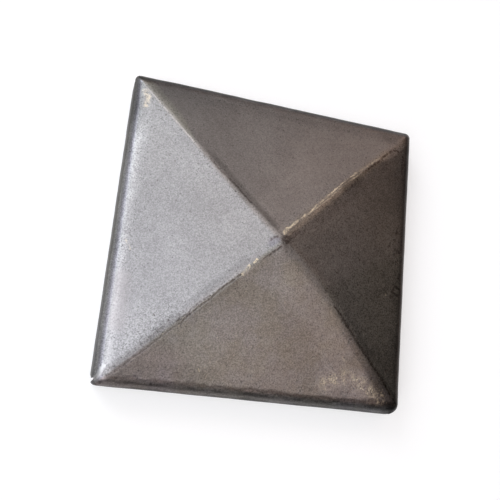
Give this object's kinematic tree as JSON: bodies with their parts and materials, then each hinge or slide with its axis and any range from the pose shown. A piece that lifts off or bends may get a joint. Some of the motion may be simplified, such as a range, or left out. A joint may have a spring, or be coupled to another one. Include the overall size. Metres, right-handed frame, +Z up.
{
  "type": "post cap",
  "caption": "Square cap pressed from sheet steel, with a low pyramid crown and a short skirt that slips over the end of a square post.",
  "frame": {"origin": "middle of the square rim, at the level of the rim", "axes": "+Z up through the tip of the crown; X and Y square to the sides of the skirt"},
  "size_m": [0.085, 0.085, 0.0199],
  "materials": {
    "raw_steel": "raw hot-rolled sheet with dull grey mill surface, dark scuffs on the bends and small rubbed bright spots"
  },
  "bodies": {
    "root": {"post_cap": "raw_steel"}
  },
  "joints": []
}
